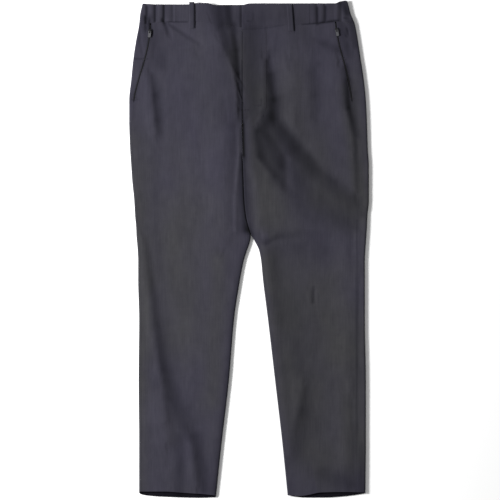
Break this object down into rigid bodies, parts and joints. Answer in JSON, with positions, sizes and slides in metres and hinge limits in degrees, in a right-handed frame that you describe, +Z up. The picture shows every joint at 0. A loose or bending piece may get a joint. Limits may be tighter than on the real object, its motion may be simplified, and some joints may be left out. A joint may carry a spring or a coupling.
{
  "type": "slim trousers laid flat",
  "caption": "Slim tapered casual trousers in dark slub cloth, laid flat front up, with side-elastic waistband, front fly and zipped side pockets.",
  "frame": {"origin": "middle of the laid garment, on the surface that it lies on", "axes": "+Y towards the waist, +X towards the wearer's left side (the picture's right), +Z up out of the front"},
  "size_m": [0.48, 0.9946, 0.0112],
  "materials": {
    "cloth": "matt slub twill",
    "zip": "woven tape and nylon coil",
    "pocket_cloth": "matt plain weave",
    "metal": "black nickel"
  },
  "bodies": {
    "garment": {"front_right": "cloth", "front_left": "cloth", "back_right": "cloth", "back_left": "cloth", "waistband_front_right": "cloth", "waistband_front_left": "cloth", "waistband_back": "cloth", "side_elastic_right": "cloth", "side_elastic_left": "cloth", "belt_loop_front_right": "cloth", "belt_loop_front_left": "cloth", "belt_loop_back_right": "cloth", "belt_loop_back_centre": "cloth", "belt_loop_back_left": "cloth", "fly_shield": "cloth", "pocket_zip_right": "zip", "pocket_bag_right": "pocket_cloth", "pocket_slider_right": "metal", "pocket_zip_left": "zip", "pocket_bag_left": "pocket_cloth", "pocket_slider_left": "metal"},
    "pull_right": {"pocket_pull_right": "metal"},
    "pull_left": {"pocket_pull_left": "metal"}
  },
  "joints": [
    {"name": "pull_hinge_right", "type": "hinge", "parent": "garment", "child": "pull_right", "pos_m": [-0.1984, 0.43566, 0.00884], "axis": [-0.9956, 0.094, 0.0063], "range_deg": [0, 150]},
    {"name": "pull_hinge_left", "type": "hinge", "parent": "garment", "child": "pull_left", "pos_m": [0.17534, 0.43832, 0.00882], "axis": [-0.9876, -0.1569, 0], "range_deg": [0, 150]}
  ]
}
